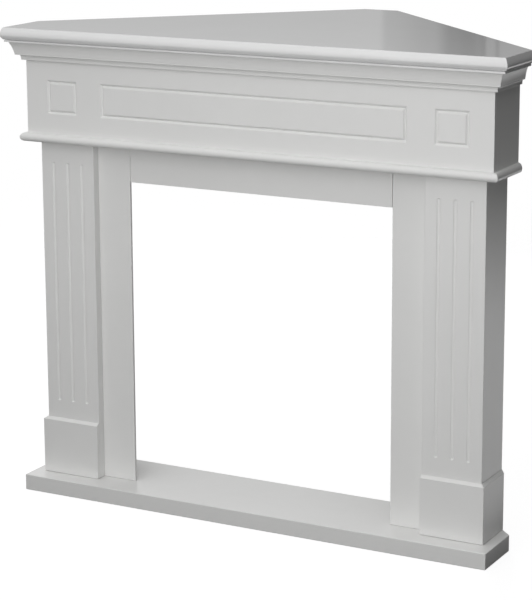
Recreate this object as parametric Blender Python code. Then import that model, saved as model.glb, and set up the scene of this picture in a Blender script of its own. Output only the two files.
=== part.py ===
"""A corner fireplace mantelpiece in white painted board.

Metres, +Z up. X runs along the front, Y runs back into the corner of the room, whose two
walls stand at 45 degrees to the front. In plan, y = 0 is the face of the frieze and x = 0
is the middle. The empty that holds the pieces then moves the whole, so that the origin is
the middle of the bounding box, at floor level.
"""

import math

import bmesh
import bpy
from mathutils import Matrix

# Whole
HEIGHT = 1.000
GAP = 0.0003  # left between two boards that touch
BOARD = 0.019  # thickness of the boards of the frieze and the legs

# Mantel shelf
SHELF_WIDTH = 1.130  # over the noses
SHELF_RETURN = 0.130  # square end, from the front nose to the start of the 45 degree edge
SHELF_THICKNESS = 0.030
SHELF_OVERHANG = 0.039  # nose beyond the face of the frieze
APEX_WIDTH = 0.080  # flat that cuts off the point at the back
NOSE_SWELL = 0.0055  # the nose's widest point past its upper edge
NOSE_WIDEST = 0.375  # share of the nose's height that lies below its widest point
NOSE_POINT = 0.45  # how far the widest point is rounded off, 0 for a sharp one
NOSE_STEPS = 8
BEAD_SETBACK = 0.007  # bead behind the widest point of the nose
BEAD_HEIGHT = 0.0035
QUIRK_DEPTH = 0.0025
QUIRK_HEIGHT = 0.0015

# Crown moulding under the shelf
CROWN_PROJECTION = 0.026
CROWN_SLOPE_HEIGHT = 0.026
CROWN_SLOPE_HOLLOW = 0.0012  # the slope is slightly coved
CROWN_LIP_PROJECTION = 0.017
CROWN_LIP_HEIGHT = 0.0015
CROWN_FILLET_PROJECTION = 0.0095
CROWN_FILLET_HEIGHT = 0.011
CROWN_FILLET_TAPER = 0.002
COVE_STEPS = 5

# Frieze
FRIEZE_HEIGHT = 0.192  # whole board: the crown covers its upper part
FRIEZE_WALL_GAP = 0.006  # the frieze's 45 degree edges in front of the shelf's
GROOVE_WIDTH = 0.008
GROOVE_DEPTH = 0.004
GROOVE_BASE = 0.047  # lower groove above the band
GROOVE_RISE = 0.062  # from the lower groove to the upper one
GROOVE_END_MARGIN = 0.055
SQUARE_WIDTH = 0.0635
PANEL_GAP = 0.066  # between a square and the long rectangle

# Band under the frieze
BAND_THICKNESS = 0.018
BAND_OVERHANG = 0.013
BAND_CORNER_CUT = 0.039  # depth of the 45 degree cut at its rear corners
BAND_STEPS = 8

# Legs
LEG_WIDTH = 0.128
LEG_INSET = 0.021  # outer face of a leg inside the end of the frieze
LEG_SETBACK = 0.018  # face of a leg behind the face of the frieze
SKIRTING_GAP = 0.029  # the lower pieces' 45 degree edges in front of the shelf's
FLUTE_COUNT = 3
FLUTE_SPACING = 0.0347
FLUTE_WIDTH = 0.0085
FLUTE_DEPTH = 0.0022
FLUTE_TOP_MARGIN = 0.044
FLUTE_FOOT_MARGIN = 0.0385  # above the plinth
FLUTE_SIDES = 24
FLUTE_RINGS = 7  # odd, so that no ring lies where the two round ends are drawn apart

# Plinths planted round the feet of the legs
PLINTH_HEIGHT = 0.123
PLINTH_THICKNESS = 0.008
PLINTH_CHAMFER_DROP = 0.005
PLINTH_TOP_FLAT = 0.001

# Thin boards round the fire opening
SLIP_REVEAL = 0.077
SLIP_THICKNESS = 0.006
HEADER_HEIGHT = 0.076

# Base board
BASE_THICKNESS = 0.034
BASE_FRONT_LEDGE = 0.042  # beyond the face of the plinths
BASE_END_LEDGE = 0.023  # beyond the outer face of the plinths
BASE_CORNER_CUT = 0.077  # depth of the 45 degree cut at its rear corners

# Heights of the joints
SHELF_BOTTOM = HEIGHT - SHELF_THICKNESS
BAND_TOP = SHELF_BOTTOM - FRIEZE_HEIGHT
BAND_BOTTOM = BAND_TOP - BAND_THICKNESS
HEADER_BOTTOM = BAND_BOTTOM - HEADER_HEIGHT
PLINTH_TOP = BASE_THICKNESS + PLINTH_HEIGHT

# Places in plan, on the right-hand half
SHELF_HALF = SHELF_WIDTH / 2
FRIEZE_HALF = SHELF_HALF - SHELF_OVERHANG
BAND_HALF = FRIEZE_HALF + BAND_OVERHANG
LEG_OUTER = FRIEZE_HALF - LEG_INSET
LEG_INNER = LEG_OUTER - LEG_WIDTH
OPENING_HALF = LEG_INNER - SLIP_REVEAL
LEG_REAR = LEG_SETBACK + BOARD  # rear face of a leg's front board
SLIP_FACE = LEG_REAR + GAP
SLIP_REAR = SLIP_FACE + SLIP_THICKNESS
PLINTH_OUTER = LEG_OUTER + PLINTH_THICKNESS
PLINTH_FACE = LEG_SETBACK - PLINTH_THICKNESS
BASE_HALF = PLINTH_OUTER + BASE_END_LEDGE
BASE_FACE = PLINTH_FACE - BASE_FRONT_LEDGE

# The walls of the room are the lines where x + y is one number. Each group of pieces
# stops at its own such line.
WALL_LINE = SHELF_HALF + SHELF_RETURN - SHELF_OVERHANG
FRIEZE_LINE = WALL_LINE - FRIEZE_WALL_GAP
LOWER_LINE = WALL_LINE - SKIRTING_GAP
SHELF_BACK = WALL_LINE - APEX_WIDTH / 2
BAND_BACK = FRIEZE_LINE - BAND_HALF + BAND_CORNER_CUT
BASE_BACK = LOWER_LINE - BASE_HALF + BASE_CORNER_CUT

MITRE_GAP = GAP * math.sqrt(2)  # shortens one board of a mitre, to hold its joint open by GAP


def white_paint(name):
    """Satin white paint over board."""
    material = bpy.data.materials.new(name)
    material.use_nodes = True
    shader = material.node_tree.nodes["Principled BSDF"]
    shader.inputs["Base Color"].default_value = (0.80, 0.80, 0.79, 1)
    shader.inputs["Roughness"].default_value = 0.32
    shader.inputs["Metallic"].default_value = 0.0
    return material


def add_piece(name, mesh, whole):
    """One physical piece, held by the empty of the whole."""
    mesh.materials.append(white_paint(name + "_paint"))
    piece = bpy.data.objects.new(name, mesh)
    bpy.context.scene.collection.objects.link(piece)
    piece.parent = whole
    return piece


def cut(piece, mesh):
    """Cuts a shape out of a piece with a live Boolean. The cutter isn't a piece."""
    cutter = bpy.data.objects.new(mesh.name, mesh)
    bpy.context.scene.collection.objects.link(cutter)
    cutter.parent = piece.parent
    cutter.hide_render = True
    cutter.display_type = "WIRE"
    modifier = piece.modifiers.new(mesh.name, "BOOLEAN")
    modifier.operation = "DIFFERENCE"
    modifier.solver = "EXACT"
    modifier.object = cutter


def skin(name, loops, ring=False):
    """A closed mesh over loops that all have the same number of points.

    A stack of loops is capped at both ends. A ring joins its last loop to its first, as
    a frame does.
    """
    bm = bmesh.new()
    rows = [[bm.verts.new(point) for point in loop] for loop in loops]
    pairs = list(zip(rows, rows[1:]))
    if ring:
        pairs.append((rows[-1], rows[0]))
    else:
        bm.faces.new(rows[0])
        bm.faces.new(rows[-1])
    for row, following in pairs:
        for i in range(len(row)):
            bm.faces.new((row[i - 1], row[i], following[i], following[i - 1]))
    bmesh.ops.recalc_face_normals(bm, faces=bm.faces)
    mesh = bpy.data.meshes.new(name)
    bm.to_mesh(mesh)
    bm.free()
    return mesh


def upright(name, plan, bottom, top, side=1):
    """A board stood up on its plan outline. Side -1 makes its mirror image on the left."""
    return skin(name, [[(side * x, y, z) for x, y in plan] for z in (bottom, top)])


def corner_outline(half_width, front, line, back):
    """Plan of a board that fits the corner: square ends, then 45 degree cuts to its back."""
    right = [(half_width, front), (half_width, line - half_width), (line - back, back)]
    return right + [(-x, y) for x, y in reversed(right)]


def nosed_board(name, edge, half_width, front, line, back):
    """A corner board with a profile worked along its front and its two square ends.

    The edge is a list of (distance inside the widest point, height), bottom to top.
    """
    loops = []
    for inset, height in edge:
        plan = corner_outline(half_width - inset, front + inset, line, back)
        loops.append([(x, y, height) for x, y in plan])
    return skin(name, loops)


def shelf_edge():
    """Bead, quirk and a nose of two slopes that meet in a rounded point."""
    bead_top = SHELF_BOTTOM + BEAD_HEIGHT
    nose_foot = bead_top + QUIRK_HEIGHT
    edge = [(BEAD_SETBACK, SHELF_BOTTOM), (BEAD_SETBACK, bead_top)]
    edge.append((BEAD_SETBACK + QUIRK_DEPTH, bead_top + QUIRK_HEIGHT / 2))
    whole_slope = math.hypot(1, NOSE_POINT) - NOSE_POINT
    for step in range(NOSE_STEPS + 1):
        share = step / NOSE_STEPS
        reach = NOSE_WIDEST if share < NOSE_WIDEST else 1 - NOSE_WIDEST
        slope = math.hypot((share - NOSE_WIDEST) / reach, NOSE_POINT) - NOSE_POINT
        edge.append((NOSE_SWELL * slope / whole_slope, nose_foot + share * (HEIGHT - nose_foot)))
    return edge


def make_shelf(whole):
    mesh = nosed_board("mantel_shelf", shelf_edge(), SHELF_HALF, -SHELF_OVERHANG, WALL_LINE, SHELF_BACK)
    add_piece("mantel_shelf", mesh, whole)


def crown_section():
    """Section of the moulding as (projection from the frieze, height), top edge first."""
    top = SHELF_BOTTOM - GAP
    lip = top - CROWN_SLOPE_HEIGHT
    fillet_top = lip - CROWN_LIP_HEIGHT
    fillet_foot = fillet_top - CROWN_FILLET_HEIGHT
    section = []
    for step in range(COVE_STEPS + 1):
        share = step / COVE_STEPS
        straight = CROWN_PROJECTION + share * (CROWN_LIP_PROJECTION - CROWN_PROJECTION)
        hollow = CROWN_SLOPE_HOLLOW * math.sin(math.pi * share)
        section.append((straight - hollow, top - share * CROWN_SLOPE_HEIGHT))
    section.append((CROWN_LIP_PROJECTION - CROWN_LIP_HEIGHT, fillet_top))
    section.append((CROWN_FILLET_PROJECTION, fillet_top))
    section.append((CROWN_FILLET_PROJECTION - CROWN_FILLET_TAPER, fillet_foot))
    return section + [(GAP, fillet_foot), (GAP, top)]


def make_crown(whole):
    """A front length and two returns, mitred where they meet and cut to the walls behind."""
    section = crown_section()
    ends = []
    for side in (-1, 1):
        ends.append([(side * (FRIEZE_HALF + out - MITRE_GAP), -out, z) for out, z in section])
    add_piece("crown_front", skin("crown_front", ends), whole)
    for side, name in ((-1, "crown_left"), (1, "crown_right")):
        mitre = [(side * (FRIEZE_HALF + out), -out, z) for out, z in section]
        wall = [(side * (FRIEZE_HALF + out), FRIEZE_LINE - FRIEZE_HALF - out, z) for out, z in section]
        add_piece(name, skin(name, [mitre, wall]), whole)


def groove_cutter(name, left, right, bottom, top):
    """V groove round a rectangle, given by the groove's centre lines."""
    proud = GROOVE_DEPTH / 2  # the cutter's flat side stands in front of the frieze
    spread = GROOVE_WIDTH / 2 * (GROOVE_DEPTH + proud) / GROOVE_DEPTH
    loops = []
    for out, y in ((spread, -proud), (0, GROOVE_DEPTH), (-spread, -proud)):
        x0, x1, z0, z1 = left - out, right + out, bottom - out, top + out
        loops.append([(x0, y, z0), (x1, y, z0), (x1, y, z1), (x0, y, z1)])
    return skin(name, loops, ring=True)


def make_frieze(whole):
    """Grooved front board and two plain returns, mitred at the corners."""
    bottom, top = BAND_TOP + GAP, SHELF_BOTTOM - GAP
    outer, inner = FRIEZE_HALF - MITRE_GAP, FRIEZE_HALF - BOARD - MITRE_GAP
    plan = [(-outer, 0), (outer, 0), (inner, BOARD), (-inner, BOARD)]
    front = add_piece("frieze_front", upright("frieze_front", plan, bottom, top), whole)
    groove_bottom = BAND_TOP + GROOVE_BASE
    groove_top = groove_bottom + GROOVE_RISE
    square_outer = FRIEZE_HALF - GROOVE_END_MARGIN
    square_inner = square_outer - SQUARE_WIDTH
    panel = square_inner - PANEL_GAP
    places = {
        "left_square": (-square_outer, -square_inner),
        "long_panel": (-panel, panel),
        "right_square": (square_inner, square_outer),
    }
    for name, (left, right) in places.items():
        cut(front, groove_cutter(name + "_groove", left, right, groove_bottom, groove_top))
    inside = FRIEZE_HALF - BOARD
    plan = [
        (FRIEZE_HALF, 0),
        (FRIEZE_HALF, FRIEZE_LINE - FRIEZE_HALF),
        (inside, FRIEZE_LINE - inside),
        (inside, BOARD),
    ]
    for side, name in ((-1, "frieze_left_side"), (1, "frieze_right_side")):
        add_piece(name, upright(name, plan, bottom, top, side), whole)


def make_band(whole):
    """Board under the frieze, with a half-round nose."""
    radius = BAND_THICKNESS / 2
    edge = []
    for step in range(BAND_STEPS + 1):
        angle = math.pi * (step / BAND_STEPS - 0.5)
        edge.append((radius * (1 - math.cos(angle)), BAND_BOTTOM + radius * (1 + math.sin(angle))))
    mesh = nosed_board("band_board", edge, BAND_HALF, -BAND_OVERHANG, FRIEZE_LINE, BAND_BACK)
    add_piece("band_board", mesh, whole)


def flute_cutter(name, x, foot, top):
    """Round-ended rod for one flute. Its axis stands in front of the leg's face."""
    half = FLUTE_WIDTH / 2
    radius = (half**2 + FLUTE_DEPTH**2) / (2 * FLUTE_DEPTH)
    centre = (x, LEG_SETBACK + FLUTE_DEPTH - radius, foot + half)
    bm = bmesh.new()
    bmesh.ops.create_uvsphere(
        bm,
        u_segments=FLUTE_SIDES,
        v_segments=FLUTE_RINGS,
        radius=radius / math.cos(math.pi / 2 / FLUTE_RINGS),
        matrix=Matrix.Translation(centre),
    )
    for vert in bm.verts:
        if vert.co.z > centre[2]:
            vert.co.z += top - foot - FLUTE_WIDTH
    mesh = bpy.data.meshes.new(name)
    bm.to_mesh(mesh)
    bm.free()
    return mesh


def make_leg(whole, side, hand):
    """Hollow leg: a fluted front board mitred to its outer side, and a hidden inner side."""
    bottom, top = BASE_THICKNESS + GAP, BAND_BOTTOM - GAP
    plan = [
        (LEG_INNER, LEG_SETBACK),
        (LEG_OUTER - MITRE_GAP, LEG_SETBACK),
        (LEG_OUTER - BOARD - MITRE_GAP, LEG_REAR),
        (LEG_INNER, LEG_REAR),
    ]
    name = hand + "_leg_front"
    front = add_piece(name, upright(name, plan, bottom, top, side), whole)
    for number in range(FLUTE_COUNT):
        offset = (number - (FLUTE_COUNT - 1) / 2) * FLUTE_SPACING
        x = side * (LEG_INNER + LEG_WIDTH / 2 + offset)
        label = f"{hand}_flute_{number + 1}"
        cut(front, flute_cutter(label, x, PLINTH_TOP + FLUTE_FOOT_MARGIN, BAND_BOTTOM - FLUTE_TOP_MARGIN))
    inside = LEG_OUTER - BOARD
    plan = [
        (LEG_OUTER, LEG_SETBACK),
        (LEG_OUTER, LOWER_LINE - LEG_OUTER),
        (inside, LOWER_LINE - inside),
        (inside, LEG_REAR),
    ]
    name = hand + "_leg_outer_side"
    add_piece(name, upright(name, plan, bottom, top, side), whole)
    front_edge = SLIP_REAR + GAP
    plan = [
        (LEG_INNER, front_edge),
        (LEG_INNER + BOARD, front_edge),
        (LEG_INNER + BOARD, BAND_BACK),
        (LEG_INNER, BAND_BACK),
    ]
    name = hand + "_leg_inner_side"
    add_piece(name, upright(name, plan, bottom, top, side), whole)


def plinth_board(name, inner_face, outer_face, side):
    """A planted board between two faces in plan, its outer face sloped back at the top.

    Each face is the pair of its end points. The points of both run the same way.
    """
    lean = (PLINTH_THICKNESS - PLINTH_TOP_FLAT) / PLINTH_THICKNESS
    sloped = []
    for (x0, y0), (x1, y1) in zip(outer_face, inner_face):
        sloped.append((x0 + lean * (x1 - x0), y0 + lean * (y1 - y0)))
    levels = (
        (BASE_THICKNESS + GAP, outer_face),
        (PLINTH_TOP - PLINTH_CHAMFER_DROP, outer_face),
        (PLINTH_TOP, sloped),
    )
    loops = []
    for z, face in levels:
        plan = list(face) + list(reversed(inner_face))
        loops.append([(side * x, y, z) for x, y in plan])
    return skin(name, loops)


def make_plinth(whole, side, hand):
    """Front and side board round the foot of a leg, mitred at the corner."""
    back = LEG_SETBACK - GAP
    flank = LEG_OUTER + GAP
    outer_face = [(LEG_INNER, PLINTH_FACE), (PLINTH_OUTER - MITRE_GAP, PLINTH_FACE)]
    inner_face = [(LEG_INNER, back), (flank - MITRE_GAP, back)]
    name = hand + "_plinth_front"
    add_piece(name, plinth_board(name, inner_face, outer_face, side), whole)
    outer_face = [(PLINTH_OUTER, PLINTH_FACE), (PLINTH_OUTER, LOWER_LINE - PLINTH_OUTER)]
    inner_face = [(flank, back), (flank, LOWER_LINE - flank)]
    name = hand + "_plinth_side"
    add_piece(name, plinth_board(name, inner_face, outer_face, side), whole)


def make_inner_frame(whole):
    """Slips beside the fire opening, lapped behind the legs, and the header between them."""
    top = BAND_BOTTOM - GAP
    lapped = LEG_INNER + BOARD
    for side, hand in ((-1, "left"), (1, "right")):
        plan = [(OPENING_HALF, SLIP_FACE), (lapped, SLIP_FACE), (lapped, SLIP_REAR), (OPENING_HALF, SLIP_REAR)]
        name = hand + "_slip"
        add_piece(name, upright(name, plan, BASE_THICKNESS + GAP, top, side), whole)
    end = OPENING_HALF - GAP
    plan = [(-end, SLIP_FACE), (end, SLIP_FACE), (end, SLIP_REAR), (-end, SLIP_REAR)]
    add_piece("header", upright("header", plan, HEADER_BOTTOM, top), whole)


def make_base(whole):
    plan = corner_outline(BASE_HALF, BASE_FACE, LOWER_LINE, BASE_BACK)
    add_piece("base_board", upright("base_board", plan, 0, BASE_THICKNESS), whole)


def main():
    for obj in list(bpy.data.objects):
        bpy.data.objects.remove(obj, do_unlink=True)
    whole = bpy.data.objects.new("mantelpiece", None)
    bpy.context.scene.collection.objects.link(whole)
    whole.location.y = -(SHELF_BACK - SHELF_OVERHANG) / 2
    make_base(whole)
    make_inner_frame(whole)
    for side, hand in ((-1, "left"), (1, "right")):
        make_leg(whole, side, hand)
        make_plinth(whole, side, hand)
    make_band(whole)
    make_frieze(whole)
    make_crown(whole)
    make_shelf(whole)


main()
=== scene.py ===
"""The looks of a corner fireplace mantelpiece in sprayed white fibreboard.

Metres, +Z up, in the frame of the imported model. The pieces follow each other as the
mantelpiece is put together, from the base board up to the shelf.
"""

import math

import bmesh
import bpy
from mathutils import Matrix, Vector


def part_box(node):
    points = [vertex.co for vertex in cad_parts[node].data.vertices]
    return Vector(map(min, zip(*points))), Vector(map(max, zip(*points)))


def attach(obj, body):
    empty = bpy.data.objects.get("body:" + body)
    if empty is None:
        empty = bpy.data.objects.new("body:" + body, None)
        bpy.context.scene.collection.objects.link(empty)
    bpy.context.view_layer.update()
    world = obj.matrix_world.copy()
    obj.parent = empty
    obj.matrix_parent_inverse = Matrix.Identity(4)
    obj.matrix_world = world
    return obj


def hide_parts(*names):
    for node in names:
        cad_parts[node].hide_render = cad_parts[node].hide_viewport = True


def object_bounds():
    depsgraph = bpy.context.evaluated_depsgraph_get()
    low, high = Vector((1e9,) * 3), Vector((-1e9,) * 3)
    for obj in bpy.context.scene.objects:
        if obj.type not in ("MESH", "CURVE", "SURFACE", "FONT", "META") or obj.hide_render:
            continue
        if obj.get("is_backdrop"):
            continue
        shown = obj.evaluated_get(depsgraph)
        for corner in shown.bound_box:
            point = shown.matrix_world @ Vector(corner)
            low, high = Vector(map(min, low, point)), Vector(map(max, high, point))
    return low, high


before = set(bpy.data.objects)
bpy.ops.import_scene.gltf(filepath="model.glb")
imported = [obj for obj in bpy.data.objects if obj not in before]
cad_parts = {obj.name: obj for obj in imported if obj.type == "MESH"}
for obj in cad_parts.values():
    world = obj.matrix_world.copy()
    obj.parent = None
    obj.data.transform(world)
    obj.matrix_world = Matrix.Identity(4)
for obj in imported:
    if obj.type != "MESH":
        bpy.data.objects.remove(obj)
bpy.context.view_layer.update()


# Base board
# The thick fibreboard that everything stands on, its rear corners sawn off at 45 degrees
# for the walls of the room. Its edges are eased, and it is sprayed white where it shows.
# The rear edges and the underside have only the thin primer.
BASE_ARRIS = 0.0014
ARRIS_STEPS = 3
KEEN_WEAR = 0.3  # how far a mitre's keen edge is worn, as a share of the arris
MERGE = 0.00002  # points closer than this are one point
FLAT = math.radians(1)  # faces that turn less than this are one face
SOFT_TURN = math.radians(30)  # a bend below this is shaded round
KEEN_TURN = math.radians(100)  # a bend above this is a mitre's keen edge
FACING = 0.9  # cosine above which a face looks along a way
FACE_WEIGHT = 100  # how far the widest face sets the normals of its corners

SATIN_WHITE = (0.84, 0.84, 0.83)
BASE_WHITE = (0.81, 0.81, 0.80)
CLOUDS_PER_METRE = 5.0
PASSES_PER_METRE = 34.0
PEEL_PER_METRE = 420.0
GRIT_PER_METRE = 2600.0
CLOUD_TONE = 0.05  # how far the tone goes from light to dark
PASS_TONE = 0.015
PASS_SHEEN = 0.3
GRIT_HEIGHT = 0.12  # as a share of the peel's height
PEEL_DEPTH = 0.0002

PRIMER_COLOUR = (0.70, 0.69, 0.66)
PRIMER_ROUGHNESS = 0.72
PRIMER_COVER = 0.82
BARE_BOARD_COLOUR = (0.42, 0.33, 0.23)
WASH_PER_METRE = 9.0
WASH_SPREAD = 0.35  # how far the cover goes from thick to thin
FIBRES_PER_METRE = 900.0
FIBRE_SPREAD = 0.25
FIBRE_STRENGTH = 0.35
FIBRE_DEPTH = 0.0003


def node_in(tree, kind, inputs=None, **settings):
    """Adds a node. Inputs maps a socket's name or number to a value or to an output."""
    made = tree.nodes.new(kind)
    for setting, value in settings.items():
        setattr(made, setting, value)
    for key, value in (inputs or {}).items():
        if isinstance(value, bpy.types.NodeSocket):
            tree.links.new(value, made.inputs[key])
        else:
            made.inputs[key].default_value = value
    return made


def maths(tree, operation, first, second=0.0):
    """The result of one sum on two numbers or outputs."""
    return node_in(tree, "ShaderNodeMath", {0: first, 1: second}, operation=operation).outputs[0]


def new_group(kind, name, inputs, outputs):
    """A node group with named sockets. Gives the tree and its inner ends."""
    tree = bpy.data.node_groups.new(name, kind)
    for label, socket, value in inputs:
        made = tree.interface.new_socket(label, in_out="INPUT", socket_type=socket)
        if value is not None:
            made.default_value = value
    for label, socket in outputs:
        tree.interface.new_socket(label, in_out="OUTPUT", socket_type=socket)
    return tree, tree.nodes.new("NodeGroupInput").outputs, tree.nodes.new("NodeGroupOutput").inputs


def noise_in(tree, place, per_metre, detail):
    """A noise pattern, as a number from 0 to 1, with so many patches to the metre."""
    inputs = {"Vector": place, "Scale": per_metre, "Detail": detail}
    return node_in(tree, "ShaderNodeTexNoise", inputs).outputs["Fac"]


def varied(tree, value, pattern, spread):
    """A value that a pattern moves up and down by half the spread."""
    offset = maths(tree, "MULTIPLY", maths(tree, "SUBTRACT", pattern, 0.5), spread)
    return maths(tree, "ADD", value, offset)


sprayed, given, gives = new_group(
    "ShaderNodeTree",
    "sprayed_paint",
    [
        ("Place", "NodeSocketVector", None),
        ("Colour", "NodeSocketColor", (0.8, 0.8, 0.8, 1)),
        ("Roughness", "NodeSocketFloat", 0.3),
        ("Peel per metre", "NodeSocketFloat", PEEL_PER_METRE),
    ],
    [("Colour", "NodeSocketColor"), ("Roughness", "NodeSocketFloat"), ("Height", "NodeSocketFloat")],
)
clouds = noise_in(sprayed, given["Place"], CLOUDS_PER_METRE, detail=3.0)
passes = noise_in(sprayed, given["Place"], PASSES_PER_METRE, detail=2.0)
film = varied(sprayed, varied(sprayed, 1.0, clouds, CLOUD_TONE), passes, PASS_TONE)
tint = node_in(sprayed, "ShaderNodeVectorMath", {0: given["Colour"], "Scale": film}, operation="SCALE")
peel = noise_in(sprayed, given["Place"], given["Peel per metre"], detail=1.0)
grit = noise_in(sprayed, given["Place"], GRIT_PER_METRE, detail=0.0)
sprayed.links.new(tint.outputs[0], gives["Colour"])
sheen = maths(sprayed, "MULTIPLY", given["Roughness"], varied(sprayed, 1.0, passes, PASS_SHEEN))
sprayed.links.new(sheen, gives["Roughness"])
sprayed.links.new(varied(sprayed, peel, grit, GRIT_HEIGHT), gives["Height"])


def coated(name, coat_group, inputs, strength, depth):
    """A material whose colour and relief come from a coat's group, with its shader and coat."""
    material = bpy.data.materials.new(name)
    material.use_nodes = True
    tree = material.node_tree
    shader = tree.nodes["Principled BSDF"]
    place = node_in(tree, "ShaderNodeTexCoord").outputs["Object"]
    coat = node_in(tree, "ShaderNodeGroup", {"Place": place, **inputs}, node_tree=coat_group)
    relief = {"Height": coat.outputs["Height"], "Strength": strength, "Distance": depth}
    bump = node_in(tree, "ShaderNodeBump", relief)
    tree.links.new(coat.outputs["Colour"], shader.inputs["Base Color"])
    tree.links.new(bump.outputs["Normal"], shader.inputs["Normal"])
    return material, shader, coat


def paint(name, colour, roughness, peel):
    """Satin lacquer, sprayed on in several passes, with the faint orange peel of the spray."""
    inputs = {"Colour": (*colour, 1), "Roughness": roughness}
    material, shader, coat = coated(name, sprayed, inputs, peel, PEEL_DEPTH)
    material.node_tree.links.new(coat.outputs["Roughness"], shader.inputs["Roughness"])
    return material


fibred, given, gives = new_group(
    "ShaderNodeTree",
    "board_fibre",
    [
        ("Place", "NodeSocketVector", None),
        ("Coat", "NodeSocketColor", (0.7, 0.7, 0.7, 1)),
        ("Board", "NodeSocketColor", (0.4, 0.3, 0.2, 1)),
        ("Cover", "NodeSocketFloat", 0.8),
    ],
    [("Colour", "NodeSocketColor"), ("Height", "NodeSocketFloat")],
)
fibres = noise_in(fibred, given["Place"], FIBRES_PER_METRE, detail=4.0)
wash = noise_in(fibred, given["Place"], WASH_PER_METRE, detail=4.0)
through = maths(fibred, "SUBTRACT", 1.0, given["Cover"])
showing = varied(fibred, varied(fibred, through, wash, WASH_SPREAD), fibres, FIBRE_SPREAD)
mixed = node_in(
    fibred,
    "ShaderNodeMixRGB",
    {"Fac": maths(fibred, "MAXIMUM", showing, 0.0), "Color1": given["Coat"], "Color2": given["Board"]},
)
fibred.links.new(mixed.outputs[0], gives["Colour"])
fibred.links.new(fibres, gives["Height"])


def primer(name, cover):
    """Thin matt primer on a face that nobody sees, with the board's fibre showing through."""
    inputs = {"Coat": (*PRIMER_COLOUR, 1), "Board": (*BARE_BOARD_COLOUR, 1), "Cover": cover}
    material, shader, coat = coated(name, fibred, inputs, FIBRE_STRENGTH, FIBRE_DEPTH)
    shader.inputs["Roughness"].default_value = PRIMER_ROUGHNESS
    return material


board_paint = paint("board_satin_white", SATIN_WHITE, roughness=0.32, peel=0.035)
base_paint = paint("base_satin_white", BASE_WHITE, roughness=0.25, peel=0.03)
back_primer = primer("back_primer", PRIMER_COVER)


def new_piece(name, bm):
    """A piece from a bmesh, with its place in its mesh and its sharp bends kept sharp."""
    mesh = bpy.data.meshes.new(name)
    bm.to_mesh(mesh)
    bm.free()
    mesh.shade_smooth()
    mesh.set_sharp_from_angle(angle=SOFT_TURN)
    piece = bpy.data.objects.new(name, mesh)
    bpy.context.scene.collection.objects.link(piece)
    return piece


def copy_of(node, name):
    """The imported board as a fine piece: its loose triangles joined into flat faces."""
    bm = bmesh.new()
    bm.from_mesh(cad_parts[node].data)
    bmesh.ops.remove_doubles(bm, verts=bm.verts, dist=MERGE)
    bmesh.ops.dissolve_limit(bm, angle_limit=FLAT, verts=bm.verts, edges=bm.edges)
    return new_piece(name, bm)


def ease(piece, radius, keen=KEEN_WEAR, square_at=None):
    """Rounds the square edges by the radius, and a mitre's keen edges by a share of it.

    The edges at the height square_at stay sharp, where the board stands on the next one.
    """
    bm = bmesh.new()
    bm.from_mesh(piece.data)
    weight = bm.edges.layers.float.new("bevel_weight_edge")
    for edge in bm.edges:
        turn = edge.calc_face_angle(0.0)
        if square_at is not None and all(abs(v.co.z - square_at) < MERGE for v in edge.verts):
            continue
        if turn > KEEN_TURN:
            edge[weight] = keen
        elif turn > SOFT_TURN:
            edge[weight] = 1.0
    bm.to_mesh(piece.data)
    bm.free()
    bevel = piece.modifiers.new("eased_edges", "BEVEL")
    bevel.limit_method = "WEIGHT"
    bevel.width = radius
    bevel.segments = ARRIS_STEPS


def finish(piece, material, node, backs=()):
    """Gives a piece its coat and primer on the faces that look along backs, hangs it on the root body, and
    hides the imported part that it stands in for.

    Wide faces keep their own normals, so that only the eased edges look bent.
    """
    steady = piece.modifiers.new("steady_faces", "WEIGHTED_NORMAL")
    steady.keep_sharp = True
    steady.weight = FACE_WEIGHT
    piece.data.materials.clear()
    piece.data.materials.append(material)
    piece.data.materials.append(back_primer)
    unseen = [Vector(way).normalized() for way in backs]
    for face in piece.data.polygons:
        face.material_index = int(any(face.normal.dot(way) > FACING for way in unseen))
    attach(piece, "root")
    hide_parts(node)


REAR = (0, 1, 0)
UNDER = (0, 0, -1)
LEFT_WALL = (-1, 1, 0)
RIGHT_WALL = (1, 1, 0)

base = copy_of("base_board", "base_board_painted")
ease(base, BASE_ARRIS)
finish(base, base_paint, "base_board", (REAR, UNDER, LEFT_WALL, RIGHT_WALL))


# Slips and header
# Thin flat boards round the fire opening, which the fire's trim covers. The slips lap
# behind the legs, and the header is glued between them, so two fine joints show above
# the corners of the opening.
SLIP_ARRIS = 0.0009
LEFT_JOINT = 0.0004  # cut off the header's ends, so that its joints show
RIGHT_JOINT = 0.0007

for node in ("left_slip", "right_slip", "header"):
    board = copy_of(node, node + "_painted")
    if node == "header":
        low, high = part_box(node)
        for vertex in board.data.vertices:
            vertex.co.x = min(max(vertex.co.x, low.x + LEFT_JOINT), high.x - RIGHT_JOINT)
    ease(board, SLIP_ARRIS)
    finish(board, board_paint, node, (REAR,))


# Legs
# Hollow boxes, open at the back: a fluted front board mitred to an outer side, and an
# inner side behind the slip. The flutes are cut with a round-nosed cutter, whose ends are
# quarter balls, and the paint softens their rims.
LEG_ARRIS = 0.0010
FLUTE_COUNT = 3
FLUTE_SPACING = 0.0347
FLUTE_WIDTH = 0.0085
FLUTE_DEPTH = 0.0022
FLUTE_TOP_MARGIN = 0.044
FLUTE_FOOT_MARGIN = 0.0385  # above the plinth
FLUTE_RIM = 0.0004
FLUTE_RIM_DEPTH = 0.6  # as a share of the rim's width
FLUTE_SIDES = 96
FLUTE_RINGS = 49  # odd, so that no ring lies where the two round ends are drawn apart

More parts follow.
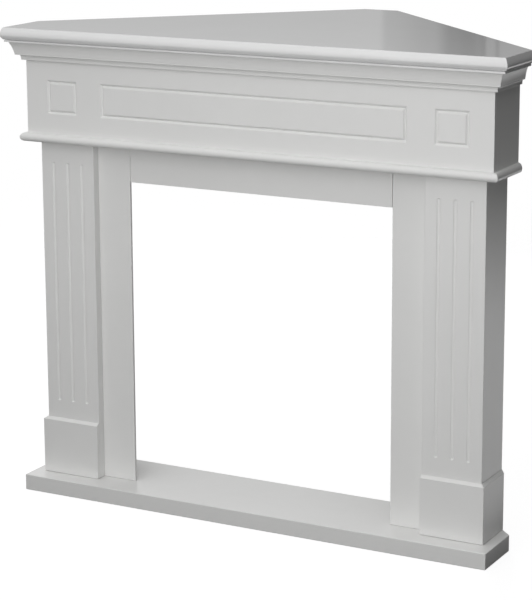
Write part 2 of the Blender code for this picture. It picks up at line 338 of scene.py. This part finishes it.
fluting, given, gives = new_group(
    "GeometryNodeTree",
    "fluted_board",
    [
        ("Board", "NodeSocketGeometry", None),
        ("Flutes", "NodeSocketInt", 3),
        ("Spacing", "NodeSocketFloat", 0.03),
        ("First foot", "NodeSocketVector", None),
        ("Length", "NodeSocketFloat", 0.5),
        ("Width", "NodeSocketFloat", 0.01),
        ("Depth", "NodeSocketFloat", 0.004),
        ("Rim", "NodeSocketFloat", 0.0005),
        ("Paint", "NodeSocketMaterial", None),
    ],
    [("Board", "NodeSocketGeometry")],
)


def flute_cutters(width, depth):
    """A row of round-ended rods, each with its axis in front of the board's face."""
    half = maths(fluting, "DIVIDE", width, 2.0)
    half_squared = maths(fluting, "MULTIPLY", half, half)
    depth_squared = maths(fluting, "MULTIPLY", depth, depth)
    both = maths(fluting, "ADD", half_squared, depth_squared)
    radius = maths(fluting, "DIVIDE", both, maths(fluting, "MULTIPLY", depth, 2.0))
    sizes = {"Segments": FLUTE_SIDES, "Rings": FLUTE_RINGS, "Radius": radius}
    ball = node_in(fluting, "GeometryNodeMeshUVSphere", sizes)
    place = node_in(fluting, "GeometryNodeInputPosition").outputs[0]
    height = node_in(fluting, "ShaderNodeSeparateXYZ", {0: place}).outputs["Z"]
    upper = node_in(fluting, "FunctionNodeCompare", {0: height, 1: 0.0}, operation="GREATER_THAN").outputs[0]
    straight = maths(fluting, "SUBTRACT", given["Length"], given["Width"])
    rise = node_in(fluting, "ShaderNodeCombineXYZ", {"Z": straight}).outputs[0]
    rod = node_in(
        fluting,
        "GeometryNodeSetPosition",
        {"Geometry": ball.outputs["Mesh"], "Selection": upper, "Offset": rise},
    )
    sunk = maths(fluting, "SUBTRACT", depth, radius)
    lift = maths(fluting, "DIVIDE", given["Width"], 2.0)
    shift = node_in(fluting, "ShaderNodeCombineXYZ", {"Y": sunk, "Z": lift}).outputs[0]
    start = node_in(fluting, "ShaderNodeVectorMath", {0: given["First foot"], 1: shift}, operation="ADD")
    step = node_in(fluting, "ShaderNodeCombineXYZ", {"X": given["Spacing"]}).outputs[0]
    row = node_in(
        fluting,
        "GeometryNodeMeshLine",
        {"Count": given["Flutes"], "Start Location": start.outputs[0], "Offset": step},
    )
    rods = node_in(
        fluting,
        "GeometryNodeInstanceOnPoints",
        {"Points": row.outputs["Mesh"], "Instance": rod.outputs["Geometry"]},
    )
    return node_in(fluting, "GeometryNodeRealizeInstances", {"Geometry": rods.outputs[0]}).outputs[0]


rim_width = maths(fluting, "ADD", given["Width"], maths(fluting, "MULTIPLY", given["Rim"], 2.0))
rim_depth = maths(fluting, "MULTIPLY", given["Rim"], FLUTE_RIM_DEPTH)
deep = node_in(
    fluting,
    "GeometryNodeMeshBoolean",
    {"Mesh 1": given["Board"], "Mesh 2": flute_cutters(given["Width"], given["Depth"])},
    operation="DIFFERENCE",
    solver="EXACT",
)
rimmed = node_in(
    fluting,
    "GeometryNodeMeshBoolean",
    {"Mesh 1": deep.outputs["Mesh"], "Mesh 2": flute_cutters(rim_width, rim_depth)},
    operation="DIFFERENCE",
    solver="EXACT",
)
whole = node_in(fluting, "GeometryNodeRealizeInstances", {"Geometry": rimmed.outputs["Mesh"]})
painted = node_in(
    fluting, "GeometryNodeSetMaterial", {"Geometry": whole.outputs[0], "Material": given["Paint"]}
)
fluting.links.new(painted.outputs[0], gives["Board"])


def apply_modifiers(piece):
    """Leaves a piece as the plain mesh that its modifiers make."""
    bpy.context.view_layer.update()
    evaluated = piece.evaluated_get(bpy.context.evaluated_depsgraph_get())
    made = bpy.data.meshes.new_from_object(evaluated)
    piece.modifiers.clear()
    piece.data = made


def run_tree(piece, tree, values):
    """Puts a geometry tree on a piece, and leaves the piece as the plain mesh it makes."""
    modifier = piece.modifiers.new(tree.name, "NODES")
    modifier.node_group = tree
    for socket in tree.interface.items_tree:
        if socket.in_out == "INPUT" and socket.name in values:
            modifier[socket.identifier] = values[socket.name]
    apply_modifiers(piece)
    piece.data.shade_smooth()
    piece.data.set_sharp_from_angle(angle=SOFT_TURN)


def upright(name, plan, bottom, top):
    """A board stood up on its plan outline."""
    bm = bmesh.new()
    rows = [[bm.verts.new((x, y, z)) for x, y in plan] for z in (bottom, top)]
    for row in rows:
        bm.faces.new(row)
    for i in range(len(plan)):
        bm.faces.new((rows[0][i - 1], rows[0][i], rows[1][i], rows[1][i - 1]))
    bmesh.ops.recalc_face_normals(bm, faces=bm.faces)
    return new_piece(name, bm)


band_low, band_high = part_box("band_board")
for side, hand in ((-1, "left"), (1, "right")):
    node = hand + "_leg_front"
    low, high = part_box(node)
    inner = min(low.x, high.x, key=abs)
    outer = max(low.x, high.x, key=abs)
    mitred = outer - side * (high.y - low.y)
    plan = [(inner, low.y), (outer, low.y), (mitred, high.y), (inner, high.y)]
    front = upright(node + "_painted", plan, low.z, high.z)
    ease(front, LEG_ARRIS)
    apply_modifiers(front)
    side_low, side_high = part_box(hand + "_leg_outer_side")
    middle = (inner + max(side_low.x, side_high.x, key=abs)) / 2
    plinth_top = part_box(hand + "_plinth_front")[1].z
    foot = plinth_top + FLUTE_FOOT_MARGIN
    first = middle - FLUTE_SPACING * (FLUTE_COUNT - 1) / 2
    run_tree(
        front,
        fluting,
        {
            "Flutes": FLUTE_COUNT,
            "Spacing": FLUTE_SPACING,
            "First foot": (first, low.y, foot),
            "Length": band_low.z - FLUTE_TOP_MARGIN - foot,
            "Width": FLUTE_WIDTH,
            "Depth": FLUTE_DEPTH,
            "Rim": FLUTE_RIM,
            "Paint": board_paint,
        },
    )
    finish(front, board_paint, node, (REAR,))
    for part in ("_leg_outer_side", "_leg_inner_side"):
        board = copy_of(hand + part, hand + part + "_painted")
        ease(board, LEG_ARRIS)
        hidden = (-side, 0, 0) if part == "_leg_outer_side" else (side, 0, 0)
        finish(board, board_paint, hand + part, (REAR, LEFT_WALL, RIGHT_WALL, hidden))


# Plinths
# Thin boards planted round the foot of each leg, mitred at the corner, with a sloped top
# edge that meets the leg. They stand a hair above the base board, so that a dark line shows.
PLINTH_ARRIS = 0.0014
PLINTH_KEEN = 0.85  # how far the mitred corner is worn, as a share of the arris
PLINTH_JOINT = 0.0006

for hand in ("left", "right"):
    for part in ("_plinth_front", "_plinth_side"):
        board = copy_of(hand + part, hand + part + "_painted")
        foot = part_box(hand + part)[0].z + PLINTH_JOINT
        for vertex in board.data.vertices:
            vertex.co.z = max(vertex.co.z, foot)
        ease(board, PLINTH_ARRIS, keen=PLINTH_KEEN, square_at=foot)
        finish(board, board_paint, hand + part, (REAR, LEFT_WALL, RIGHT_WALL))


# Band
# The board that caps the legs and carries the frieze. Its front and ends are worked to a
# half round. The rear corners are cut off at 45 degrees.
BAND_STEPS = 24
BAND_ARRIS = 0.0005

moulding_paint = paint("moulding_satin_white", SATIN_WHITE, roughness=0.30, peel=0.03)


def nosed_board(name, edge, node, line):
    """A corner board with a profile along its front and its two square ends.

    The edge is a list of (distance inside the widest point, height), bottom to top. The
    walls are where x + y is the line.
    """
    low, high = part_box(node)
    bm = bmesh.new()
    rows = []
    for inset, height in edge:
        end, front = high.x - inset, low.y + inset
        right = [(end, front), (end, line - end), (line - high.y, high.y)]
        plan = right + [(-x, y) for x, y in reversed(right)]
        rows.append([bm.verts.new((x, y, height)) for x, y in plan])
    bm.faces.new(rows[0])
    bm.faces.new(rows[-1])
    for row, following in zip(rows, rows[1:]):
        for i in range(len(row)):
            bm.faces.new((row[i - 1], row[i], following[i], following[i - 1]))
    bmesh.ops.recalc_face_normals(bm, faces=bm.faces)
    return new_piece(name, bm)


def wall_line(node):
    """Where the 45 degree edge of a board lies, as the sum of x and y."""
    points = [v.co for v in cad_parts[node].data.vertices]
    return max(p.x + p.y for p in points)


radius = (band_high.z - band_low.z) / 2
edge = []
for step in range(BAND_STEPS + 1):
    angle = math.pi * (step / BAND_STEPS - 0.5)
    edge.append((radius * (1 - math.cos(angle)), band_low.z + radius * (1 + math.sin(angle))))
band = nosed_board("band_board_painted", edge, "band_board", wall_line("band_board"))
ease(band, BAND_ARRIS)
finish(band, moulding_paint, "band_board", (REAR, LEFT_WALL, RIGHT_WALL))


# Frieze
# A board on edge above the band, with one long rectangle and two squares cut in its face
# as V grooves, and a plain return mitred to each end.
FRIEZE_ARRIS = 0.0009
GROOVE_WIDTH = 0.008
GROOVE_DEPTH = 0.004
GROOVE_BASE = 0.047  # lower groove above the band
GROOVE_RISE = 0.062  # from the lower groove to the upper one
GROOVE_END_MARGIN = 0.055
SQUARE_WIDTH = 0.0635
PANEL_GAP = 0.066  # between a square and the long rectangle
CUTTER_PROUD = 0.002  # in front of the board's face

low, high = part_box("frieze_front")
frieze_face = low.y
frieze_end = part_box("frieze_right_side")[1].x
board_depth = high.y - low.y
plan = [(low.x, low.y), (high.x, low.y), (high.x - board_depth, high.y), (low.x + board_depth, high.y)]
frieze = upright("frieze_front_painted", plan, band_high.z, high.z)


def groove_cutter(left, right, bottom, top, face):
    """V section run round a rectangle. Its flat side stands in front of the face."""
    spread = GROOVE_WIDTH / 2 * (GROOVE_DEPTH + CUTTER_PROUD) / GROOVE_DEPTH
    bm = bmesh.new()
    rows = []
    for out, y in ((spread, -CUTTER_PROUD), (0, GROOVE_DEPTH), (-spread, -CUTTER_PROUD)):
        x0, x1, z0, z1 = left - out, right + out, bottom - out, top + out
        corners = [(x0, z0), (x1, z0), (x1, z1), (x0, z1)]
        rows.append([bm.verts.new((x, face + y, z)) for x, z in corners])
    for row, following in zip(rows, rows[1:] + rows[:1]):
        for i in range(len(row)):
            bm.faces.new((row[i - 1], row[i], following[i], following[i - 1]))
    bmesh.ops.recalc_face_normals(bm, faces=bm.faces)
    return new_piece("groove_cutter", bm)


groove_bottom = band_high.z + GROOVE_BASE
groove_top = groove_bottom + GROOVE_RISE
square_outer = frieze_end - GROOVE_END_MARGIN
square_inner = square_outer - SQUARE_WIDTH
panel = square_inner - PANEL_GAP
cutters = []
for left, right in ((-square_outer, -square_inner), (-panel, panel), (square_inner, square_outer)):
    cutter = groove_cutter(left, right, groove_bottom, groove_top, frieze_face)
    modifier = frieze.modifiers.new("groove", "BOOLEAN")
    modifier.operation = "DIFFERENCE"
    modifier.solver = "EXACT"
    modifier.object = cutter
    cutters.append(cutter)
apply_modifiers(frieze)
for cutter in cutters:
    bpy.data.objects.remove(cutter)
ease(frieze, FRIEZE_ARRIS, square_at=band_high.z)
finish(frieze, board_paint, "frieze_front", (REAR,))
for side, hand in ((-1, "left"), (1, "right")):
    node = f"frieze_{hand}_side"
    board = copy_of(node, node + "_painted")
    for vertex in board.data.vertices:
        if abs(vertex.co.z - low.z) < MERGE:
            vertex.co.z = band_high.z
    ease(board, FRIEZE_ARRIS, square_at=band_high.z)
    finish(board, board_paint, node, (REAR, LEFT_WALL, RIGHT_WALL, (-side, 0, 0)))


# Crown
# A machined moulding glued under the shelf: a slightly hollow slope with a rounded lower
# lip, and a fillet against the frieze. One long length in front and a short return at each
# end, mitred at the corners and cut to the walls.
CROWN_PROJECTION = 0.026
CROWN_SLOPE_HEIGHT = 0.026
CROWN_SLOPE_HOLLOW = 0.0012
CROWN_LIP_PROJECTION = 0.017
CROWN_LIP_HEIGHT = 0.0015
CROWN_FILLET_PROJECTION = 0.0095
CROWN_FILLET_TAPER = 0.002
CROWN_FILLET_HOLLOW = 0.0007
CROWN_LIP_BAND = 0.0022  # the upright part of the lip
CROWN_LIP_ROUND = 0.0009
CROWN_FILLET_ROUND = 0.0008
CROWN_ARRIS = 0.0004
COVE_STEPS = 16
FILLET_STEPS = 8
ROUND_STEPS = 5


def rounded(corners):
    """An open outline of (out, height, radius) corners, each worked to a small arc."""
    points = []
    for i, (out, height, radius) in enumerate(corners):
        here = Vector((out, height))
        if not radius:
            points.append(tuple(here))
            continue
        before = (Vector(corners[i - 1][:2]) - here).normalized()
        after = (Vector(corners[i + 1][:2]) - here).normalized()
        half = before.angle(after) / 2
        centre = here + (before + after).normalized() * radius / math.sin(half)
        start = here + before * radius / math.tan(half) - centre
        end = here + after * radius / math.tan(half) - centre
        for step in range(ROUND_STEPS + 1):
            way = start.lerp(end, step / ROUND_STEPS).normalized()
            points.append(tuple(centre + way * radius))
    return points


crown_low, crown_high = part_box("crown_front")
lip = crown_high.z - CROWN_SLOPE_HEIGHT
lip_foot = lip - CROWN_LIP_HEIGHT
corners = []
for step in range(COVE_STEPS):
    share = step / COVE_STEPS
    straight = CROWN_PROJECTION + share * (CROWN_LIP_PROJECTION - CROWN_PROJECTION)
    hollow = CROWN_SLOPE_HOLLOW * math.sin(math.pi * share)
    corners.append((straight - hollow, crown_high.z - share * CROWN_SLOPE_HEIGHT, 0))
for side in (1, -1):
    corners.append((CROWN_LIP_PROJECTION, lip + side * CROWN_LIP_BAND / 2, CROWN_LIP_ROUND))
corners.append((CROWN_LIP_PROJECTION - CROWN_LIP_HEIGHT, lip_foot, 0))
for step in range(FILLET_STEPS):
    share = step / FILLET_STEPS
    hollow = CROWN_FILLET_HOLLOW * math.sin(math.pi * share)
    out = CROWN_FILLET_PROJECTION - share * CROWN_FILLET_TAPER - hollow
    corners.append((out, lip_foot + share * (crown_low.z - lip_foot), 0))
corners.append((CROWN_FILLET_PROJECTION - CROWN_FILLET_TAPER, crown_low.z, CROWN_FILLET_ROUND))
behind = frieze_face - crown_high.y
section = rounded(corners + [(behind, crown_low.z, 0), (behind, crown_high.z, 0)])


def moulding(name, first, second):
    """A length of moulding between two cut ends, each a list of points of the section."""
    bm = bmesh.new()
    ends = [[bm.verts.new(point) for point in end] for end in (first, second)]
    for end in ends:
        bm.faces.new(end)
    for i in range(len(first)):
        bm.faces.new((ends[0][i - 1], ends[0][i], ends[1][i], ends[1][i - 1]))
    bmesh.ops.recalc_face_normals(bm, faces=bm.faces)
    return new_piece(name, bm)


mitre_x = crown_high.x - CROWN_PROJECTION
ends = [[(side * (mitre_x + out), frieze_face - out, z) for out, z in section] for side in (-1, 1)]
crown = moulding("crown_front_painted", *ends)
ease(crown, CROWN_ARRIS)
finish(crown, moulding_paint, "crown_front")
crown_line = wall_line("frieze_right_side")
for side, hand in ((-1, "left"), (1, "right")):
    mitre = [(side * (frieze_end + out), frieze_face - out, z) for out, z in section]
    wall = [(side * (frieze_end + out), crown_line - frieze_end - out, z) for out, z in section]
    crown = moulding(f"crown_{hand}_painted", mitre, wall)
    ease(crown, CROWN_ARRIS)
    finish(crown, moulding_paint, "crown_" + hand, (LEFT_WALL, RIGHT_WALL))


# Shelf
# One thick board cut to the corner of the room, its point sawn off flat. Its front and
# ends are worked to two slopes that meet in a rounded point, over a quirk and a small
# bead. It has the glossiest coat.
NOSE_SWELL = 0.0055
NOSE_WIDEST = 0.375  # share of the nose's height that lies below its widest point
NOSE_POINT = 0.45  # how far the widest point is rounded off
NOSE_STEPS = 24
NOSE_TOP_FLAT = 0.004
NOSE_ROUNDS = {0: 0.0005, NOSE_STEPS: 0.0012}  # at the foot and at the top of the nose
BEAD_SETBACK = 0.007
BEAD_HEIGHT = 0.0035
BEAD_ROUND = 0.0012
QUIRK_DEPTH = 0.0025
QUIRK_HEIGHT = 0.0015
SHELF_ARRIS = 0.0005
SHELF_WHITE = (0.83, 0.83, 0.83)

shelf_paint = paint("shelf_gloss_white", SHELF_WHITE, roughness=0.05, peel=0.004)

low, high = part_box("mantel_shelf")
nose_foot = low.z + BEAD_HEIGHT + QUIRK_HEIGHT
whole_slope = math.hypot(1, NOSE_POINT) - NOSE_POINT
corners = [
    (BEAD_SETBACK, low.z, 0),
    (BEAD_SETBACK, low.z + BEAD_HEIGHT, BEAD_ROUND),
    (BEAD_SETBACK + QUIRK_DEPTH, low.z + BEAD_HEIGHT + QUIRK_HEIGHT / 2, 0),
]
for step in range(NOSE_STEPS + 1):
    share = step / NOSE_STEPS
    reach = NOSE_WIDEST if share < NOSE_WIDEST else 1 - NOSE_WIDEST
    slope = math.hypot((share - NOSE_WIDEST) / reach, NOSE_POINT) - NOSE_POINT
    height = nose_foot + share * (high.z - nose_foot)
    corners.append((NOSE_SWELL * slope / whole_slope, height, NOSE_ROUNDS.get(step, 0)))
corners.append((NOSE_SWELL + NOSE_TOP_FLAT, high.z, 0))
edge = rounded(corners)[:-1]  # the last point only says how the top goes on
shelf = nosed_board("mantel_shelf_painted", edge, "mantel_shelf", wall_line("mantel_shelf"))
ease(shelf, SHELF_ARRIS)
finish(shelf, shelf_paint, "mantel_shelf", (REAR, LEFT_WALL, RIGHT_WALL))


# Studio
# A round patch of pale floor that fades into a white surround, soft boxes in front and one
# behind, a lighter wall far behind on the left that the shelf's gloss mirrors, and a camera
# in front on the right that looks down on the shelf.
WHITE = (1, 1, 1, 1)
FLOOR_RADIUS = 5.0
FLOOR_SIDES = 96
FLOOR_ROUGHNESS = 0.6
FLOOR_FADE = (1.8, 3.6)  # metres from the middle of the mantelpiece
FLOOR_SHADE = 0.13
FLOOR_GLOW = 0.90
FLOOR_MIRRORED_GLOW = (1.25, 0.7)
FLOOR_MIRRORED_FROM = ((0.02, 0.10), (0.5, 0.9))  # metres to the right of the base board
FLOOR_MIRRORED_TO = (1.3, 1.8)
AMBIENT = 0.01
SKY_GLOW = 1.25
SKY_NARROWNESS = 6.0  # how fast the glow falls off to the sides
FRONT_GLOW = 0.20
FRONT_NARROWNESS = 2.0
WALL_GLOW = 0.46
WALL_FROM = (-110, -80)  # degrees from straight back, negative on the left
WALL_FOOT = (-0.1, 0.0)  # radians up, where the wall fades in
WALL_STEPS = [  # the far wall's panels and gaps: start and end in degrees, change of glow
    (-25.3, -25.1, -0.14),
    (-25.1, -23.9, -0.10),
    (-23.9, -23.4, -0.18),
    (-23.4, -22.9, -0.05),
    (-22.85, -22.75, 0.04),
    (-22.66, -22.62, -0.12),
    (-22.54, -22.50, 0.26),
    (-22.28, -22.25, -0.12),
    (-22.18, -22.15, 0.13),
    (-15.0, -10.0, -0.24),
]
WALL_LOW_TOP = (11, 17)  # degrees up
HIGH_WALL_GLOW = 1.3
HIGH_WALL_TO = (-26.6, -22.6)
HIGH_WALL_TOP = (32, 45)
AIM = (0.0, -0.15, 0.62)
LIGHT_SIZE = 1.8
LIGHT_DISTANCE = 2.4
LIGHTS = {  # degrees to the right of the front, degrees up, power
    "key_light": (18, 20, 14.9),
    "low_light": (4, 3, 11.0),
    "top_light": (5, 40, 4.1),
    "left_light": (-35, 50, 8.5),
}
BACK_LIGHT = (-165, 12, 8.0)  # not mirrored in the shelf
CAMERA_PLACE = (2.0678, -4.0575, 1.5160)
CAMERA_TURN = math.radians(28.231)  # towards the left
CAMERA_DIP = math.radians(12.532)  # below level
CAMERA_ROLL = math.radians(0.251)
CAMERA_LENS = 131.49  # millimetres
CAMERA_SENSOR = 36.0  # millimetres wide
CAMERA_SHIFT = -0.07


def ramp(tree, value, start, end, low, high):
    """A number that runs smoothly from low to high while the value goes from start to end."""
    inputs = {"Value": value, "From Min": start, "From Max": end, "To Min": low, "To Max": high}
    return node_in(tree, "ShaderNodeMapRange", inputs, interpolation_type="SMOOTHSTEP").outputs[0]


def in_radians(angles):
    """A pair of angles in radians."""
    return [math.radians(angle) for angle in angles]


bm = bmesh.new()
bmesh.ops.create_circle(bm, cap_ends=True, segments=FLOOR_SIDES, radius=FLOOR_RADIUS)
floor = new_piece("floor", bm)
floor_material = bpy.data.materials.new("pale_floor")
floor_material.use_nodes = True
floor_material.cycles.emission_sampling = "NONE"
tree = floor_material.node_tree
shader = tree.nodes["Principled BSDF"]
shader.inputs["Base Color"].default_value = (FLOOR_SHADE, FLOOR_SHADE, FLOOR_SHADE, 1)
shader.inputs["Roughness"].default_value = FLOOR_ROUGHNESS
shader.inputs["Emission Color"].default_value = WHITE
place = node_in(tree, "ShaderNodeTexCoord").outputs["Object"]
away = node_in(tree, "ShaderNodeVectorMath", {0: place}, operation="LENGTH").outputs["Value"]
rays = node_in(tree, "ShaderNodeLightPath").outputs
across = node_in(tree, "ShaderNodeSeparateXYZ", {0: place}).outputs["X"]
outside = maths(tree, "SUBTRACT", across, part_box("base_board")[1].x)
mirrored = 0.0
for limits, glow in zip(FLOOR_MIRRORED_FROM, FLOOR_MIRRORED_GLOW):
    mirrored = maths(tree, "ADD", ramp(tree, outside, *limits, 0.0, glow), mirrored)
mirrored = maths(tree, "MULTIPLY", mirrored, ramp(tree, outside, *FLOOR_MIRRORED_TO, 1.0, 0.0))
mirrored = maths(tree, "MULTIPLY", rays["Is Glossy Ray"], mirrored)
seen = maths(tree, "MULTIPLY", rays["Is Camera Ray"], FLOOR_GLOW)
tree.links.new(maths(tree, "ADD", seen, mirrored), shader.inputs["Emission Strength"])
tree.links.new(ramp(tree, away, *FLOOR_FADE, 1.0, 0.0), shader.inputs["Alpha"])
floor.data.materials.append(floor_material)
floor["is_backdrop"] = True

world = bpy.data.worlds.new("studio")
world.use_nodes = True
tree = world.node_tree
tree.nodes.clear()
way = node_in(tree, "ShaderNodeTexCoord").outputs["Generated"]
way = node_in(tree, "ShaderNodeSeparateXYZ", {0: way}).outputs
turn = maths(tree, "ARCTAN2", way["X"], way["Y"])
rise = maths(tree, "ARCSINE", way["Z"])
low_wall = WALL_GLOW
for start, end, change in WALL_STEPS:
    step = ramp(tree, turn, *in_radians((start, end)), 0.0, change)
    low_wall = maths(tree, "ADD", step, low_wall)
low_wall = maths(tree, "MAXIMUM", low_wall, 0.0)
low_wall = maths(tree, "MULTIPLY", low_wall, ramp(tree, rise, *in_radians(WALL_LOW_TOP), 1.0, 0.0))
high_wall = ramp(tree, turn, *in_radians(HIGH_WALL_TO), HIGH_WALL_GLOW, 0.0)
for limits, low, high in ((WALL_LOW_TOP, 0.0, 1.0), (HIGH_WALL_TOP, 1.0, 0.0)):
    high_wall = maths(tree, "MULTIPLY", high_wall, ramp(tree, rise, *in_radians(limits), low, high))
wall = maths(tree, "ADD", low_wall, high_wall)
wall = maths(tree, "MULTIPLY", wall, ramp(tree, turn, *in_radians(WALL_FROM), 0.0, 1.0))
wall = maths(tree, "MULTIPLY", wall, ramp(tree, rise, *WALL_FOOT, 0.0, 1.0))


def lobe(towards, narrowness, glow):
    """Light from one side of the surround, strongest straight from there."""
    shape = maths(tree, "POWER", maths(tree, "MAXIMUM", towards, 0.0), narrowness)
    return maths(tree, "MULTIPLY", shape, glow)


strength = maths(tree, "ADD", wall, AMBIENT)
strength = maths(tree, "ADD", strength, lobe(way["Z"], SKY_NARROWNESS, SKY_GLOW))
forwards = maths(tree, "MULTIPLY", way["Y"], -1.0)
strength = maths(tree, "ADD", strength, lobe(forwards, FRONT_NARROWNESS, FRONT_GLOW))
seen = node_in(tree, "ShaderNodeBackground", {"Color": WHITE, "Strength": 1.0})
lighting = node_in(tree, "ShaderNodeBackground", {"Color": WHITE, "Strength": strength})
is_seen = node_in(tree, "ShaderNodeLightPath").outputs["Is Camera Ray"]
both = node_in(
    tree, "ShaderNodeMixShader", {0: is_seen, 1: lighting.outputs[0], 2: seen.outputs[0]}
)
node_in(tree, "ShaderNodeOutputWorld", {"Surface": both.outputs[0]})
bpy.context.scene.world = world


def soft_light(name, turn, rise, power):
    """A square soft box that looks at the middle of the mantelpiece."""
    turn, rise = math.radians(turn), math.radians(rise)
    way = Vector((math.sin(turn) * math.cos(rise), -math.cos(turn) * math.cos(rise), math.sin(rise)))
    data = bpy.data.lights.new(name, "AREA")
    data.size = LIGHT_SIZE
    data.energy = power
    light = bpy.data.objects.new(name, data)
    light.location = Vector(AIM) + way * LIGHT_DISTANCE
    light.rotation_euler = way.to_track_quat("Z", "Y").to_euler()
    light.visible_camera = False
    bpy.context.scene.collection.objects.link(light)
    return light


for name, setting in LIGHTS.items():
    soft_light(name, *setting)
soft_light("back_light", *BACK_LIGHT).visible_glossy = False

camera_data = bpy.data.cameras.new("camera")
camera_data.lens = CAMERA_LENS
camera_data.sensor_width = CAMERA_SENSOR
camera_data.shift_y = CAMERA_SHIFT
camera = bpy.data.objects.new("camera", camera_data)
camera.rotation_mode = "XYZ"
camera.location = CAMERA_PLACE
camera.rotation_euler = (math.pi / 2 - CAMERA_DIP, CAMERA_ROLL, CAMERA_TURN)
bpy.context.scene.collection.objects.link(camera)
bpy.context.scene.camera = camera
bpy.context.scene.view_settings.view_transform = "Standard"

low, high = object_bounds()
